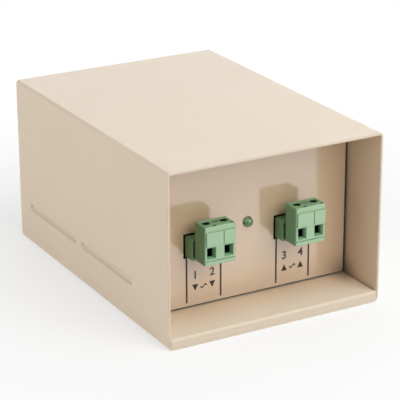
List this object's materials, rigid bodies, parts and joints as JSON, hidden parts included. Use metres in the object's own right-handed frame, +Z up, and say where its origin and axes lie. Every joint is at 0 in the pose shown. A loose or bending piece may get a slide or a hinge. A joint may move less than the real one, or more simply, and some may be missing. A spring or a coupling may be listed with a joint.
{
  "type": "outdoor power supply",
  "caption": "Beige sheet-steel power supply box with a recessed front panel, two green plug-in screw terminals and an indicator lamp.",
  "frame": {"origin": "centre of the box's underside", "axes": "+Z up, -Y out of the recessed front, +X to the right as seen from the front"},
  "size_m": [0.0936, 0.133, 0.07],
  "materials": {
    "beige_paint": "satin beige powder coat",
    "board_green": "solder-masked glass-fibre board",
    "overlay_film": "glossy printed film",
    "terminal_green": "moulded polyamide",
    "header_green": "moulded polyamide",
    "lamp_green": "clear tinted epoxy",
    "zinc_steel": "zinc plated",
    "tinned_brass": "tin plated",
    "white_nylon": "natural nylon",
    "resistor_coat": "lacquered",
    "black_epoxy": "moulded epoxy",
    "fuse_glass": "clear",
    "fuse_nickel": "nickel plated",
    "core_steel": "varnished laminations",
    "bobbin_nylon": "moulded nylon",
    "copper_wire": "enamelled copper",
    "winding_tape": "polyester tape",
    "black_wire": "insulated wire",
    "yellow_wire": "insulated wire"
  },
  "bodies": {
    "case": {"case_sleeve": "beige_paint", "chassis": "beige_paint", "chassis_standoffs": "zinc_steel", "case_screws": "zinc_steel", "panel_board": "board_green", "panel_overlay": "overlay_film", "panel_screws": "zinc_steel", "spacer_front_screws": "zinc_steel", "board_spacers": "zinc_steel", "spacer_rear_screws": "zinc_steel", "terminal_board": "board_green", "led_lens": "lamp_green", "led_spacer": "white_nylon", "led_leads": "tinned_brass", "led_resistor": "resistor_coat", "led_diode": "black_epoxy", "component_leads": "tinned_brass", "fuse_tube": "fuse_glass", "fuse_caps": "fuse_nickel", "fuse_wire": "copper_wire", "fuse_clips": "fuse_nickel", "core_e": "core_steel", "core_i": "core_steel", "bobbin": "bobbin_nylon", "primary_winding": "copper_wire", "secondary_winding": "copper_wire", "primary_tape": "winding_tape", "secondary_tape": "winding_tape", "bobbin_tags": "tinned_brass", "transformer_strap": "zinc_steel", "transformer_screws": "zinc_steel", "transformer_nuts": "zinc_steel", "primary_lead_left": "black_wire", "primary_lead_right": "black_wire", "secondary_lead_left": "yellow_wire", "secondary_lead_right": "yellow_wire", "output_header": "header_green", "output_pins": "tinned_brass", "input_header": "header_green", "input_pins": "tinned_brass"},
    "output_plug": {"output_plug": "terminal_green", "output_contacts": "tinned_brass"},
    "output_screw_left": {"output_screw_left": "zinc_steel"},
    "output_clamp_left": {"output_clamp_left": "zinc_steel"},
    "output_screw_right": {"output_screw_right": "zinc_steel"},
    "output_clamp_right": {"output_clamp_right": "zinc_steel"},
    "input_plug": {"input_plug": "terminal_green", "input_contacts": "tinned_brass"},
    "input_screw_left": {"input_screw_left": "zinc_steel"},
    "input_clamp_left": {"input_clamp_left": "zinc_steel"},
    "input_screw_right": {"input_screw_right": "zinc_steel"},
    "input_clamp_right": {"input_clamp_right": "zinc_steel"}
  },
  "joints": [
    {"name": "output_plug_pull", "type": "slide", "parent": "case", "child": "output_plug", "axis": [0, -1, 0], "range_m": [0, 0.012]},
    {"name": "output_screw_left_turn", "type": "hinge", "parent": "output_plug", "child": "output_screw_left", "pos_m": [-0.02375, -0.0535, 0.041], "axis": [0, 0, -1], "range_deg": [0, 2401]},
    {"name": "output_clamp_left_rise", "type": "slide", "parent": "output_plug", "child": "output_clamp_left", "axis": [0, 0, 1], "range_m": [0, 0.003]},
    {"name": "output_screw_right_turn", "type": "hinge", "parent": "output_plug", "child": "output_screw_right", "pos_m": [-0.01625, -0.0535, 0.041], "axis": [0, 0, -1], "range_deg": [0, 2401]},
    {"name": "output_clamp_right_rise", "type": "slide", "parent": "output_plug", "child": "output_clamp_right", "axis": [0, 0, 1], "range_m": [0, 0.003]},
    {"name": "input_plug_pull", "type": "slide", "parent": "case", "child": "input_plug", "axis": [0, -1, 0], "range_m": [0, 0.012]},
    {"name": "input_screw_left_turn", "type": "hinge", "parent": "input_plug", "child": "input_screw_left", "pos_m": [0.01625, -0.0535, 0.041], "axis": [0, 0, -1], "range_deg": [0, 2401]},
    {"name": "input_clamp_left_rise", "type": "slide", "parent": "input_plug", "child": "input_clamp_left", "axis": [0, 0, 1], "range_m": [0, 0.003]},
    {"name": "input_screw_right_turn", "type": "hinge", "parent": "input_plug", "child": "input_screw_right", "pos_m": [0.02375, -0.0535, 0.041], "axis": [0, 0, -1], "range_deg": [0, 2401]},
    {"name": "input_clamp_right_rise", "type": "slide", "parent": "input_plug", "child": "input_clamp_right", "axis": [0, 0, 1], "range_m": [0, 0.003]}
  ],
  "couplings": [
    {"joint": "output_screw_left_turn", "follows": "output_clamp_left_rise", "rad_per_m": 13963},
    {"joint": "output_screw_right_turn", "follows": "output_clamp_right_rise", "rad_per_m": 13963},
    {"joint": "input_screw_left_turn", "follows": "input_clamp_left_rise", "rad_per_m": 13963},
    {"joint": "input_screw_right_turn", "follows": "input_clamp_right_rise", "rad_per_m": 13963}
  ]
}
